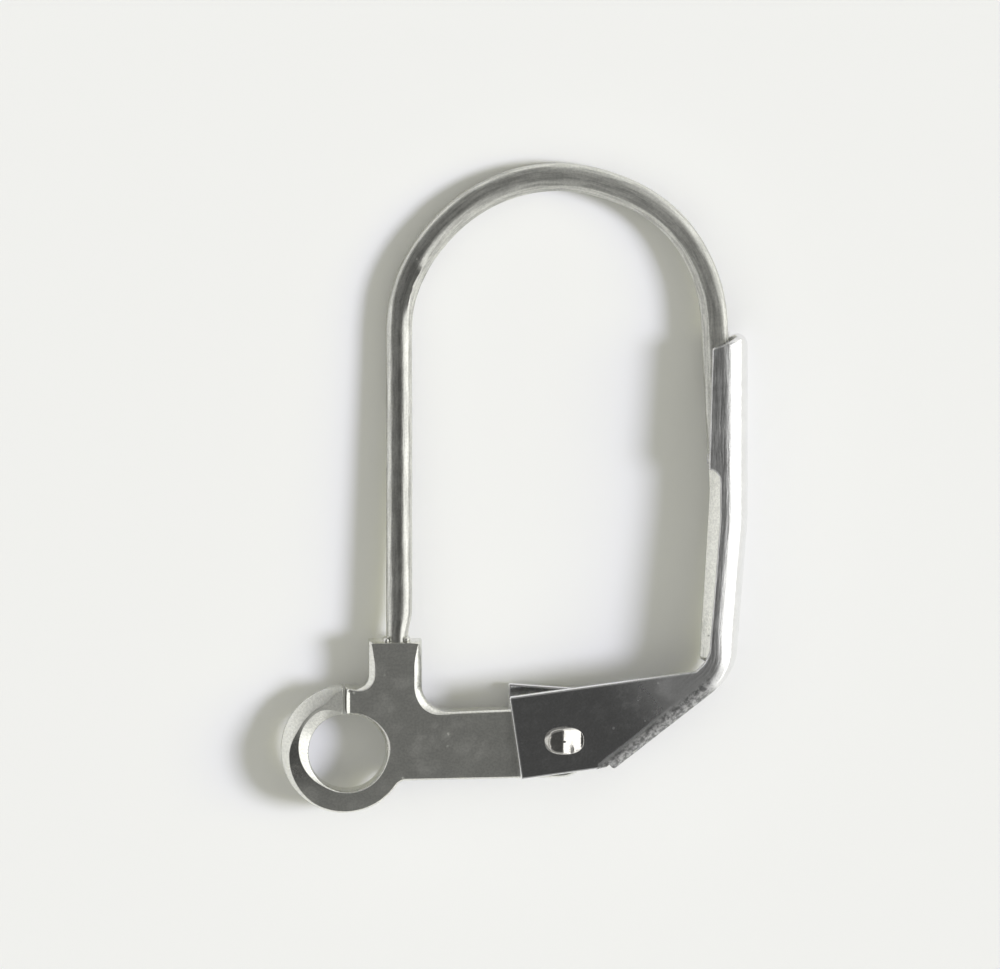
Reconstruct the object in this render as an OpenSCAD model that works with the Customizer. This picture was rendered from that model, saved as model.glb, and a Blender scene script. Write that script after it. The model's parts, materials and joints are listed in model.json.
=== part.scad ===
// Lever-back earring finding that lies on its side.
// Outlines are drawn in the earring's own plane, seen from its front face: X to the right, Y towards the arch,
// Z towards the viewer, with the hinge axis at the origin. The last step lays the whole earring on a flat
// surface at Z = 0, on the three points that touch it: a rivet head, the lever's arm and the wire's arch.

/* [Wire] */
// Diameter of the round ear wire
wire_d = 0.64; // [0.6:0.01:0.66]
// Distance from the hinge axis to the straight leg of the wire
leg_x = 4.0; // [3.98:0.01:4.02]
// Radius of the arch, to the middle of the wire
arch_r = 3.85; // [3.84:0.01:3.86]
// Height of the arch's centre above the hinge axis
arch_y = 10.03; // [9.9:0.01:10.2]
// Angle at which the wire comes down from the arch, away from the leg
flare = 2.8; // [2.6:0.1:2.9]
// Height of the slight bend between arch and tail
tail_bend_y = 6.4; // [6.2:0.1:6.6]
// Radius of that bend
tail_bend_r = 6; // [4:0.5:8]
// Angle at which the tail leans back towards the leg
tail_lean = 3.3; // [3.2:0.1:3.5]
// Height of the tail's round end above the hinge axis
tail_end_y = 1.8; // [1.75:0.05:2.2]

/* [Foot plate] */
// Thickness of the stamped plate
plate_t = 0.72; // [0.66:0.01:0.76]
// Width of the stem that carries the wire
stem_w = 1.29; // [1.2:0.01:1.35]
// Distance from the hinge axis to the middle of the stem
stem_x = 4.105; // [4.05:0.005:4.15]
// Height of the stem's top above the hinge axis
stem_top = 2.43; // [2.2:0.01:2.6]
// Radius of the hollow between the stem and the tab
stem_fillet = 0.66; // [0.5:0.01:0.8]
// Bottom edge of the tab below the hinge axis
tab_bottom = 1.0; // [0.97:0.01:1.02]
// Top edge of the tab where it leaves the stem
tab_top = 0.68; // [0.62:0.01:0.7]
// Radius of the tab's round end
tab_end_r = 0.86; // [0.82:0.01:0.88]

/* [Charm ring] */
// Distance from the hinge axis to the middle of the ring
ring_x = 5.35; // [5.3:0.01:5.4]
// Middle of the ring below the hinge axis
ring_drop = 0.245; // [0.2:0.005:0.3]
// Outer radius of the ring
ring_r = 1.545; // [1.5:0.005:1.6]
// Diameter of the ring's hole
ring_hole_d = 1.9; // [1.8:0.05:2]
// How far the hole lies towards the tab and below the middle of the ring, which thickens the ring's free side
hole_shift = [0.07, 0.06]; // [0:0.01:0.08]
// Width of the cut through the ring
ring_cut = 0.06; // [0.04:0.01:0.1]
// Radius of the small hollows beside the ring
ring_fillet = 0.3; // [0.25:0.01:0.35]

/* [Lever] */
// Width of the folded lever, from face to face
lever_w = 1.28; // [1.26:0.01:1.3]
// Thickness of the sheet
sheet_t = 0.22; // [0.2:0.01:0.23]
// Distance from the hinge axis to the back of the arm
arm_back = 4.512; // [4.5:0.001:4.53]
// Height where the arm starts to lean towards the wire
knee_y = 5.48; // [5.3:0.01:5.6]
// Angle of the arm below the knee
arm_lean = 4.5; // [4.3:0.1:4.6]
// Distance from the hinge axis to the outside of the slanted web
web_reach = 1.344; // [1.33:0.001:1.37]
// Slope of the web
web_slope = 37.9; // [37:0.1:39]
// Where the web starts, measured along it from the point nearest to the hinge axis
web_start = 0.5; // [0.45:0.01:0.55]
// Outer radius of the bend between web and arm
bend_r = 1.4; // [1.35:0.01:1.45]
// Outer radius of the folds beside the web
fold_r = 0.26; // [0.25:0.01:0.28]
// Height of the flanges' lower edge
flange_low = 6.65; // [6.5:0.01:6.8]
// Width of the flanges there, from the back of the arm
flange_w = 0.975; // [0.95:0.005:1]
// Height of the flanges' upper corner
flange_top = 9.62; // [9.5:0.01:9.7]
// Slant of the arm's end
end_slant = 18; // [15:1:25]

/* [Cheeks] */
// Slope of the front cheek's top edge
front_slope = 7.5; // [7:0.1:8]
// Slope of the back cheek's top edge, which the skewed fold turns the other way
back_slope = -4.5; // [-5:0.1:-4]
// Free upper corner of the front cheek, left of and above the hinge axis
front_top = [1.36, 1.08]; // [1:0.01:1.4]
// Free lower corner of the front cheek, left of and below the hinge axis
front_bottom = [1.05, 0.96]; // [0.9:0.01:1.2]
// Free upper corner of the back cheek, left of and above the hinge axis
back_top = [1.32, 1.27]; // [1:0.01:1.4]
// Free lower corner of the back cheek, left of and below the hinge axis
back_bottom = [1.3, 0.85]; // [0.8:0.01:1.4]

/* [Rivet] */
// Diameter of the rivet's shank
rivet_d = 0.76; // [0.7:0.01:0.8]
// Diameter of the rivet's heads
head_d = 0.96; // [0.92:0.01:1]
// Height of the domed back head
head_h = 0.26; // [0.24:0.01:0.28]
// Height of the peened front head
front_head_h = 0.19; // [0.15:0.01:0.22]
// Gap between the shank and the hole in the tab
running_gap = 0.03; // [0.02:0.01:0.05]
// Gap between the shank and the holes in the cheeks
seat_gap = 0.01; // [0.005:0.005:0.02]

/* [Hidden] */
$fn = 64;

function along(a) = [cos(a), sin(a)];
function unit(v) = v / norm(v);
function flat(v) = [v[0], v[1]];
function on_plane(p, z) = [p[0], p[1], z];
function arc(c, r, from, to, n = 8) = [for (i = [0:n]) c + r * along(from + (to - from) * i / n)];
// Where the line from p along d crosses the line through q whose normal is m
function cross_line(p, d, q, m) = p + ((q - p) * m) / (d * m) * d;
// Where the line from p along d leaves the circle
function leave_circle(p, d, c, r) =
    p + (-(p - c) * d + sqrt(pow((p - c) * d, 2) - (p - c) * (p - c) + r * r)) * d;

// Wire and foot plate
wire_r = wire_d / 2;
arch_c = [arch_r - leg_x, arch_y];
flare_start = arch_c + arch_r * along(flare);
flare_end = flare_start + (flare_start[1] - tail_bend_y) / cos(flare) * along(flare - 90);
tail_bend_c = flare_end - tail_bend_r * along(flare);
tail_start = tail_bend_c + tail_bend_r * along(-tail_lean);
tail_len = (tail_start[1] - tail_end_y) / cos(tail_lean);
end_round = wire_r + 0.02;
wire_root = 0.4;

ring_c = [-ring_x, -ring_drop];
hole_c = ring_c + [hole_shift[0], -hole_shift[1]];
hole_r = ring_hole_d / 2;
stem_left = -stem_x - stem_w / 2;
stem_right = -stem_x + stem_w / 2;
tab_end_c = [-0.1, -0.09];
overlap = 0.1;
// Stretches that follow one another run into each other by this much, and each bent one is this much fuller
// than the straight ones beside it, so that no two surfaces run along one another
run_in = 0.03;
fuller = 0.004;

// Lever: its outer line goes down the back of the arm, round the knee, down the leaning arm, round the bend
// and down the web. Each stretch starts where the one before it ends.
half_w = lever_w / 2;
gap_half = half_w - sheet_t;
knee_r = 3;
knee_c = [arm_back - knee_r, knee_y];
knee_end = knee_c + knee_r * along(-arm_lean);
arm_dir = along(-90 - arm_lean);
web_dir = along(web_slope);
web_normal = web_slope - 90;
web_foot = web_reach * along(web_normal);
corner = cross_line(knee_end, arm_dir, web_foot, along(web_normal));
turn = -arm_lean - web_normal;
tangent = bend_r * tan(turn / 2);
bend_start = corner - tangent * arm_dir;
bend_end = corner - tangent * web_dir;
bend_c = bend_start - bend_r * along(-arm_lean);
web_end = web_foot + web_start * web_dir;
// Fold radius in each step of the bend, from the half-round arm to the tight folds of the web
bend_folds = [0.56, 0.44, 0.34];
bend_fuller = fuller * [1, 2, 1];
bend_step = turn / len(bend_folds);
// Free edge of the neck, measured in from the outer line
neck_in = half_w + 0.02;
// How far in the cheeks end, inside the folds of the web
leg_in = 0.4;
// Lower corner of both cheeks beside the web's end
web_corner = [-0.18, 0.07];

// Flanges at the top of the arm
notch_r = 0.3;
flange_lean = 1.5;
flange_corner_r = 0.1;
back_corner_r = 0.16;
flange_left = arm_back - flange_w;
flange_corner_c = [flange_left + (flange_top - flange_low) * tan(flange_lean), flange_top]
    + flange_corner_r * [1, -1];
arm_end_rise = (arm_back - back_corner_r - flange_corner_c[0]) * tan(end_slant);
back_corner_c = [arm_back + 0.01 - back_corner_r, flange_corner_c[1] + arm_end_rise];
arm_top = back_corner_c[1] + 2 * back_corner_r;

// Rivet
shank_r = rivet_d / 2;
head_r = head_d / 2;
// Radius of a dome of height h on the heads' diameter
function dome_radius(h) = (head_r * head_r + h * h) / (2 * h);
back_dome_r = dome_radius(head_h);
back_dome_z = dome_radius(head_h) - half_w - head_h;

// How it lies: up is the direction, in the earring's own frame, that ends up vertical. It is the normal of
// the plane that touches the rivet's back head, the rounded corner of the back flange and the arch.
function down_slope(up) = unit(-flat(up));
function touch_rivet(up) = [0, 0, back_dome_z] - back_dome_r * up;
function touch_flange(up) = on_plane(flange_corner_c + flange_corner_r * down_slope(up), -half_w);
function touch_arch(up) = on_plane(arch_c + arch_r * down_slope(up), 0) - (wire_r + fuller) * up;
function plane_up(a, b, c) = unit(cross(b - a, c - a));
function settle(up, n) =
    n == 0 ? up : settle(plane_up(touch_rivet(up), touch_flange(up), touch_arch(up)), n - 1);
up = settle(unit([0.04, -0.03, 1]), 8);
turn_axis = cross(up, [0, 0, 1]);
// A point or direction of the earring's own frame once it lies down, and the way back
function lay(p) = p + cross(turn_axis, p) + cross(turn_axis, cross(turn_axis, p)) / (1 + up[2]);
function unlay(d) = d - cross(turn_axis, d) + cross(turn_axis, cross(turn_axis, d)) / (1 + up[2]);
function ring_reach(d) =
    lay(on_plane(ring_c + ring_r * unit(flat(d)), plate_t / 2 * sign(d[2])));
function arch_reach(d) = lay(on_plane(arch_c + arch_r * unit(flat(d)), 0) + (wire_r + fuller) * d);
function arm_reach(d) = lay([arm_back - half_w, back_corner_c[1], 0] + half_w * unit([d[0], 0, d[2]]));
reach_left = ring_reach(unlay([-1, 0, 0]))[0];
reach_right = arm_reach(unlay([1, 0, 0]))[0];
reach_bottom = ring_reach(unlay([0, -1, 0]))[1];
reach_top = arch_reach(unlay([0, 1, 0]))[1];
lying_at = [-(reach_left + reach_right) / 2, -(reach_bottom + reach_top) / 2, -touch_rivet(up) * up];

module lying() {
    translate(lying_at) rotate(a = acos(up[2]), v = turn_axis) children();
}

// Ear wire

module wire_stick(from, to) {
    v = to - from;
    translate(on_plane(from - run_in * unit(v), 0))
        rotate([0, 0, atan2(v[1], v[0])])
            rotate([0, 90, 0]) cylinder(r = wire_r, h = norm(v) + 2 * run_in);
}

module wire_arc(c, r, from, to) {
    translate(on_plane(c, 0))
        rotate([0, 0, from])
            rotate_extrude(angle = to - from) translate([r, 0]) circle(r = wire_r + fuller);
}

// Tail with its rounded end, which is the origin of the profile
module wire_tail() {
    translate(on_plane(tail_start + tail_len * along(-90 - tail_lean), 0))
        rotate([0, 0, -tail_lean])
            rotate([-90, 0, 0]) rotate_extrude() intersection() {
                union() {
                    translate([0, end_round]) circle(r = end_round);
                    translate([0, end_round]) square([wire_d, tail_len]);
                }
                square([wire_r, tail_len + run_in]);
            }
}

module wire_rod() {
    wire_stick([-leg_x, stem_top - wire_root], [-leg_x, arch_y]);
    wire_arc(arch_c, arch_r, flare, 180);
    wire_stick(flare_end, flare_start);
    wire_arc(tail_bend_c, tail_bend_r, -tail_lean, flare);
    wire_tail();
}

// Hollow between the stem's left edge and the ring
module ring_fillet_above() {
    x = stem_left - ring_fillet + fuller;
    c = [x, ring_c[1] + sqrt(pow(ring_r + ring_fillet - fuller, 2) - pow(x - ring_c[0], 2))];
    difference() {
        polygon([ring_c + ring_r * unit(c - ring_c), ring_c + [0, hole_r], [stem_left + overlap, hole_r],
                 [stem_left + overlap, c[1]], [stem_left, c[1]]]);
        translate(c) circle(r = ring_fillet);
    }
}

// Hollow between the tab's bottom edge and the ring
module ring_fillet_below() {
    y = -tab_bottom - ring_fillet + fuller;
    c = [ring_c[0] + sqrt(pow(ring_r + ring_fillet - fuller, 2) - pow(y - ring_c[1], 2)), y];
    difference() {
        polygon([ring_c + ring_r * unit(c - ring_c), ring_c + [hole_r, -overlap],
                 [c[0], -tab_bottom + overlap], [c[0], -tab_bottom]]);
        translate(c) circle(r = ring_fillet);
    }
}

// Hollow between the stem's right edge and the tab's top edge
module stem_hollow() {
    reach = stem_fillet + overlap - fuller;
    difference() {
        translate([stem_right - overlap, tab_top - overlap]) square([reach, reach]);
        translate([stem_right + stem_fillet - fuller, tab_top + stem_fillet - fuller]) circle(r = stem_fillet);
    }
}

module tab_outline() {
    polygon([[ring_c[0] + hole_r, -tab_bottom], [ring_c[0] + ring_r, -tab_bottom],
             [tab_end_c[0], tab_end_c[1] - tab_end_r + fuller],
             [tab_end_c[0], tab_end_c[1] + tab_end_r - fuller], [stem_right, tab_top],
             [stem_left + overlap, tab_top]]);
    translate(tab_end_c) circle(r = tab_end_r);
}

module foot_outline() {
    difference() {
        union() {
            translate(ring_c) circle(r = ring_r);
            translate([stem_left, ring_c[1]]) square([stem_w, stem_top - ring_c[1]]);
            tab_outline();
            stem_hollow();
            ring_fillet_above();
            ring_fillet_below();
        }
        translate(hole_c) circle(r = hole_r);
        translate(ring_c + [-ring_cut / 2, 0]) square([ring_cut, ring_r + overlap]);
        circle(r = shank_r + running_gap);
    }
}

module ear_wire() {
    color("gainsboro") lying() {
        wire_rod();
        translate([0, 0, -plate_t / 2]) linear_extrude(plate_t) foot_outline();
    }
}

// Lever

// Strip of half-width h that ends at x = 0 with corners of radius r and reaches back to x = -reach
module rounded_strip(h, r, reach) {
    intersection() {
        union() {
            for (s = [-1, 1]) translate([-r, s * (h - r)]) circle(r = r);
            if (h > r) translate([-r, r - h]) square([r, 2 * (h - r)]);
            translate([-reach, -h]) square([reach - r, 2 * h]);
        }
        translate([-reach, -h]) square([reach, 2 * h]);
    }
}

// Section of the folded sheet, square to its outer line, which is at x = 0
module sheet_section(fold, reach, grow = 0) {
    thick = sheet_t + 2 * grow;
    translate([grow, 0]) difference() {
        rounded_strip(half_w + grow, fold + grow, reach + grow);
        translate([-thick, 0]) rounded_strip(gap_half - grow, fold + grow - thick, reach);
    }
}

// Straight stretch that goes down the outer line; it starts a little early, inside the stretch before it
module fold_straight(from, normal, length, fold, reach) {
    translate(on_plane(from - run_in * along(normal - 90), 0))
        rotate([0, 0, normal])
            rotate([90, 0, 0]) linear_extrude(length + run_in) sheet_section(fold, reach);
}

module fold_arc(c, r, from, to, fold, reach, grow) {
    translate(on_plane(c, 0))
        rotate([0, 0, from])
            rotate_extrude(angle = to - from) translate([r, 0]) sheet_section(fold, reach, grow);
}

// Side outline of the arm above the knee, with its flanges, rounded end and the notch under the flanges
module flange_outline() {
    notch_c = [arm_back - neck_in - notch_r, flange_low - notch_r];
    polygon(concat(
        [[arm_back + overlap, knee_y - 2 * run_in], [arm_back - neck_in, knee_y - 2 * run_in]],
        arc(notch_c, notch_r, 0, 90),
        [[flange_left, flange_low]],
        arc(flange_corner_c, flange_corner_r, 180 - flange_lean, 90 + end_slant, 6),
        arc(back_corner_c, back_corner_r, 90 + end_slant, 0),
        [[arm_back + overlap, back_corner_c[1]]]));
}

module arm() {
    intersection() {
        fold_straight([arm_back, arm_top], 0, arm_top - knee_y + run_in, half_w, flange_w + overlap);
        linear_extrude(2 * lever_w, center = true) flange_outline();
    }
    fold_arc(knee_c, knee_r, -arm_lean, 0, half_w, neck_in + fuller, fuller);
    fold_straight(knee_end, -arm_lean, norm(bend_start - knee_end) + run_in, half_w, neck_in);
}

module web() {
    for (i = [0:len(bend_folds) - 1]) {
        top = -arm_lean - i * bend_step;
        run = i == 0 ? 0 : run_in / bend_r * 180 / PI;
        fold_arc(bend_c, bend_r, top - bend_step, top + run, bend_folds[i], neck_in + bend_fuller[i],
                 bend_fuller[i]);
    }
    fold_straight(bend_end, web_normal, norm(bend_end - web_end), fold_r, fold_r + leg_in);
}

// Points of a cheek's lower edge, from inside the web's fold, out past the web's end, to the free lower corner
function cheek_bottom(free_corner) =
    let (m = along(web_normal),
         inside = web_end + overlap * web_dir,
         side = fold_r + 0.04)
    [inside - leg_in * m,
     inside - side * m,
     web_end + run_in * web_dir - side * m,
     web_end - run_in * web_dir - overlap * m,
     web_end + web_corner,
     free_corner];

module front_cheek() {
    top = [-front_top[0], front_top[1]];
    neck = leave_circle(top, along(front_slope), bend_c, bend_r - leg_in - overlap);
    polygon(concat([top, neck, bend_end - leg_in * along(web_normal)], cheek_bottom(-front_bottom)));
}

module back_cheek() {
    top = [-back_top[0], back_top[1]];
    m = along(web_normal);
    meet = cross_line(top, along(back_slope), web_foot - (leg_in + overlap) * m, m);
    polygon(concat([top, meet, bend_end - leg_in * m], cheek_bottom(-back_bottom)));
}

module lever() {
    color("silver") lying() difference() {
        union() {
            arm();
            web();
            translate([0, 0, gap_half]) linear_extrude(sheet_t) front_cheek();
            translate([0, 0, -half_w]) linear_extrude(sheet_t) back_cheek();
        }
        cylinder(r = shank_r + seat_gap, h = 2 * lever_w, center = true);
    }
}

// Rivet

module dome(h) {
    translate([0, 0, half_w])
        rotate_extrude() intersection() {
            translate([0, h - dome_radius(h)]) circle(r = dome_radius(h));
            square([head_r, h]);
        }
}

module hinge_rivet() {
    color("whitesmoke") lying() {
        cylinder(r = shank_r, h = lever_w, center = true);
        dome(front_head_h);
        mirror([0, 0, 1]) dome(head_h);
    }
}

ear_wire();
lever();
hinge_rivet();
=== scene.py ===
"""Looks of a silver-coloured lever-back earring that lies on its side on a pale surface."""
import json
import math

import bmesh
import bpy
from mathutils import Matrix, Vector, noise
from mathutils.geometry import delaunay_2d_cdt


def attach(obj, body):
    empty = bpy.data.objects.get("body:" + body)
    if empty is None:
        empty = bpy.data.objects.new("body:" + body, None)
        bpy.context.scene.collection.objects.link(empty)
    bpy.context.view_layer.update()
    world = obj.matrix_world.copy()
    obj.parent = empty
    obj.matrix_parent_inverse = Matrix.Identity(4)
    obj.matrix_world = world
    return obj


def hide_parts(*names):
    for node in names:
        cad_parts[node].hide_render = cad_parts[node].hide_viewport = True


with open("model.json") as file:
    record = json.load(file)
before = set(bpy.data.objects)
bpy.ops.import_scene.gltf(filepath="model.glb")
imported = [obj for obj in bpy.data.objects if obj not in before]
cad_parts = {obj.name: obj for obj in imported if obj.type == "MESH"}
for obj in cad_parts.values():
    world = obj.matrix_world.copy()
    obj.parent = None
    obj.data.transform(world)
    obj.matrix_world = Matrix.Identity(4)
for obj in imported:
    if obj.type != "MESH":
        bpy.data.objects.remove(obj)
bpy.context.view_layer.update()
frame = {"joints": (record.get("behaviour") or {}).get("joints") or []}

# All sizes are in millimetres in the earring's own frame: X to the right, Y towards the arch, Z towards the
# viewer, with the hinge axis at the origin. The hinge of the solids says how that frame lies in the scene.
MM = 0.001
hinge = frame["joints"][0]
PIVOT = Vector(hinge["pos_m"])
TURN = Vector((0, 0, 1)).rotation_difference(-Vector(hinge["axis"]))


def place(p):
    """Place in the scene of a point of the earring's own frame."""
    return TURN @ (Vector(p) * MM) + PIVOT


def along(angle):
    """Direction at that many degrees, counted from the right."""
    return Vector((math.cos(math.radians(angle)), math.sin(math.radians(angle))))


def smooth(x, low, high):
    """Rises softly from 0 at low to 1 at high."""
    t = min(max((x - low) / (high - low), 0.0), 1.0)
    return t * t * (3 - 2 * t)


def mix(a, b, t):
    return a + (b - a) * t


# Roughness and streaks of polished metal
POLISHED = (0.1, 0.0)


class Mesh:
    """Points with their exact normals, and the faces between them. Each point also has a finish, which is its
    roughness and how streaky it is, and a grain, which is its place along and across the metal."""

    def __init__(self):
        self.points, self.normals, self.faces, self.finishes, self.grains = [], [], [], [], []

    def add(self, point, normal, finish=POLISHED, grain=None):
        self.points.append(Vector(point))
        self.normals.append(Vector(normal).normalized())
        self.finishes.append(finish)
        self.grains.append(Vector(grain or point))
        return len(self.points) - 1

    def strip(self, a, b):
        for i in range(len(a)):
            j = (i + 1) % len(a)
            self.faces.append((a[i], a[j], b[j], b[i]))

    def fan(self, ring, tip):
        for i in range(len(ring)):
            self.faces.append((ring[i], ring[(i + 1) % len(ring)], tip))

    def make(self, name, material):
        mesh = bpy.data.meshes.new(name)
        mesh.from_pydata([place(p) for p in self.points], [], self.faces)
        work = bmesh.new()
        work.from_mesh(mesh)
        bmesh.ops.recalc_face_normals(work, faces=work.faces)
        work.to_mesh(mesh)
        work.free()
        mesh.shade_smooth()
        mesh.normals_split_custom_set_from_vertices([TURN @ n for n in self.normals])
        for i, attribute in enumerate(("rough", "streaky")):
            values = mesh.attributes.new(attribute, "FLOAT", "POINT").data
            values.foreach_set("value", [finish[i] for finish in self.finishes])
        grains = mesh.attributes.new("grain", "FLOAT_VECTOR", "POINT").data
        grains.foreach_set("vector", [c for grain in self.grains for c in grain])
        mesh.materials.append(material)
        piece = bpy.data.objects.new(name, mesh)
        bpy.context.scene.collection.objects.link(piece)
        return piece


# Rounded sheets

ROUND_STEPS = 8
# Sharp corners are mitred no further than the angle that has this cosine.
LEAST_MITRE = 0.35
INSIDE_ONLY, JOIN_WITHIN = 1, 1e-7


def inward(loop):
    """At each point of a clockwise loop, the mitred direction in which the metal lies."""
    out = []
    for i, p in enumerate(loop):
        before = (p - loop[i - 1]).normalized()
        after = (loop[(i + 1) % len(loop)] - p).normalized()
        a = Vector((before.y, -before.x))
        b = Vector((after.y, -after.x))
        m = (a + b).normalized()
        out.append(m / max(m.dot(a), LEAST_MITRE))
    return out


def within(p, loop):
    """True if p lies inside the loop."""
    crossings = False
    for a, b in zip(loop, loop[1:] + loop[:1]):
        if (a.y > p.y) != (b.y > p.y) and p.x < a.x + (p.y - a.y) * (b.x - a.x) / (b.y - a.y):
            crossings = not crossings
    return crossings


def rounded_sheet(mesh, loops, sizes, thick, lift, inner_points, finish):
    """Closed sheet with rounded edges. loops are clockwise for the outline and the other way for holes, and
    sizes gives each point the width, depth and power of its rounding. A power of 2 is round, and one near 1
    is a straight bevel. lift(p, depth) gives the place at that depth under the upper face, with the
    directions of both flat axes and of the face. finish(p, on_edge) gives the finish of a point, and on_edge
    is True where the point belongs to a rounding."""
    flat, edges, rims, top_ids, bottom_ids = [], [], [], [], []
    for loop, size in zip(loops, sizes):
        dirs = inward(loop)
        rows = {1: [], -1: []}
        for k in range(ROUND_STEPS + 1):
            a = math.radians(90 * k / ROUND_STEPS)
            for side in (1, -1):
                row = []
                for p, d, (width, drop, power) in zip(loop, dirs, size):
                    across, up = math.cos(a) ** (2 / power), math.sin(a) ** (2 / power)
                    q = p + d * width * (1 - across)
                    depth = drop * (1 - up)
                    spot, ex, ey, ez = lift(q, depth if side > 0 else thick - depth)
                    out = -d.normalized()
                    n = (ex * out.x + ey * out.y) * across ** (power - 1) / width
                    n += ez * side * up ** (power - 1) / drop
                    row.append(mesh.add(spot, n, finish(q, k < ROUND_STEPS), (q.x, q.y, side)))
                rows[side].append(row)
        for side in (1, -1):
            for lower, upper in zip(rows[side], rows[side][1:]):
                mesh.strip(lower, upper)
        mesh.strip(rows[1][0], rows[-1][0])
        rims.append([p + d * each[0] for p, d, each in zip(loop, dirs, size)])
        edges += [(len(flat) + i, len(flat) + (i + 1) % len(loop)) for i in range(len(loop))]
        flat += rims[-1]
        top_ids += rows[1][-1]
        bottom_ids += rows[-1][-1]
    flat += [Vector(p) for p in inner_points]
    points, _, faces, sources, _, _ = delaunay_2d_cdt(flat, edges, [], INSIDE_ONLY, JOIN_WITHIN)
    ids = {1: [], -1: []}
    for p, source in zip(points, sources):
        known = [s for s in source if s < len(top_ids)]
        if known:
            ids[1].append(top_ids[known[0]])
            ids[-1].append(bottom_ids[known[0]])
            continue
        for side in (1, -1):
            spot, _, _, ez = lift(p, 0 if side > 0 else thick)
            ids[side].append(mesh.add(spot, ez * side, finish(p, False), (p.x, p.y, side)))
    for face in faces:
        middle = sum((points[i] for i in face), Vector((0, 0))) / len(face)
        if not any(within(middle, rim) for rim in rims[1:]):
            for side in (1, -1):
                mesh.faces.append([ids[side][i] for i in face])


def line(a, b, step=0.1):
    """Points from a almost to b."""
    n = max(1, round((b - a).length / step))
    return [a + (b - a) * i / n for i in range(n)]


def arc(c, r, start, end, step=0.06):
    """Points round c from one angle almost to the other."""
    n = max(2, round(abs(math.radians(end - start)) * r / step))
    return [c + r * along(start + (end - start) * i / n) for i in range(n)]


def eased(values, reach=3):
    """Running mean of the sizes round a closed loop."""
    n = len(values)
    return [tuple(sum(values[(i + k) % n][j] for k in range(-reach, reach + 1)) / (2 * reach + 1)
                  for j in range(3)) for i in range(n)]


# Ear wire

WIRE_R = 0.32
LEG_X = -4.0
ARCH_C, ARCH_R = Vector((-0.15, 10.03)), 3.85
FLARE, TAIL_LEAN, TAIL_BEND_Y, TAIL_BEND_R, TAIL_END_Y = 2.8, 3.3, 6.4, 6.0, 1.8
WIRE_ROOT, ARCH_STEP, BEND_STEP = 0.4, 0.12, 0.1
STEM_LEFT, STEM_RIGHT, STEM_TOP = -4.75, -3.46, 2.43
PLATE_T = 0.72


def wire_path():
    """Points down the middle of the wire, from inside the stem round to the end of the tail."""
    flare_start = ARCH_C + ARCH_R * along(FLARE)
    flare_len = (flare_start.y - TAIL_BEND_Y) / math.cos(math.radians(FLARE))
    flare_end = flare_start + flare_len * along(FLARE - 90)
    bend_c = flare_end - TAIL_BEND_R * along(FLARE)
    tail_start = bend_c + TAIL_BEND_R * along(-TAIL_LEAN)
    tail_len = (tail_start.y - TAIL_END_Y - WIRE_R) / math.cos(math.radians(TAIL_LEAN))
    tail_end = tail_start + tail_len * along(-90 - TAIL_LEAN)
    points = line(Vector((LEG_X, STEM_TOP - WIRE_ROOT)), Vector((LEG_X, ARCH_C.y)))
    points += arc(ARCH_C, ARCH_R, 180, FLARE, ARCH_STEP)
    points += line(flare_start, flare_end)
    points += arc(bend_c, TAIL_BEND_R, FLARE, -TAIL_LEAN, BEND_STEP)
    points += line(tail_start, tail_end)
    return points + [tail_end]


RIDGE = 0.12


def section(wide, high, powers, crown, angle):
    """Point of a rounded section, wide and high each way. powers say how square its outer and its inner side
    are, where 2 is round. With a crown, its top slopes down both ways from a low ridge."""
    c, s = math.cos(angle), math.sin(angle)
    power = powers[0] if c < 0 else powers[1]
    u = math.copysign(abs(c) ** (2 / power), c)
    v = math.copysign(abs(s) ** (2 / power), s)
    return Vector((u * wide, v * high * (1 - crown * (math.hypot(u, RIDGE) - RIDGE))))


# The arch is pressed flat. That fades out between these angles round its centre on the left, and between
# these heights on the right.
PRESS_ANGLES, PRESS_HEIGHTS = (148, 176), (7.4, 9.2)
OUTER_POWER, INNER_POWER = 4, 9
LEAST_CROWN, MORE_CROWN = 0.04, 0.1
# It is broader and lies a little further in, from the first of these pairs of angles to the second.
BROAD_RIGHT, BROAD_LEFT, BROAD, FURTHER_IN = (38, 72), (135, 172), 0.03, 0.08
# The leg is slimmer where it enters the stem. That fades out between these heights.
SLIM_HEIGHTS, SLIM = (STEM_TOP + 0.1, STEM_TOP + 0.75), 0.1
# The tail has a flat that faces this way. It starts and is full at these heights, and lies this far from the
# wire's middle.
TAIL_FLAT = along(45)
TAIL_FLAT_FROM, TAIL_FLAT_FULL, TAIL_FLAT_REACH, FLAT_EDGE = 7.2, 6.4, 0.15, 0.02
TAIL_ROUND, TAIL_ROUND_STEPS = 0.14, 9
LEG_ROUGH, ARCH_ROUGH, TAIL_ROUGH = 0.27, 0.43, 0.12
UNEVEN = 0.012


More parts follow.
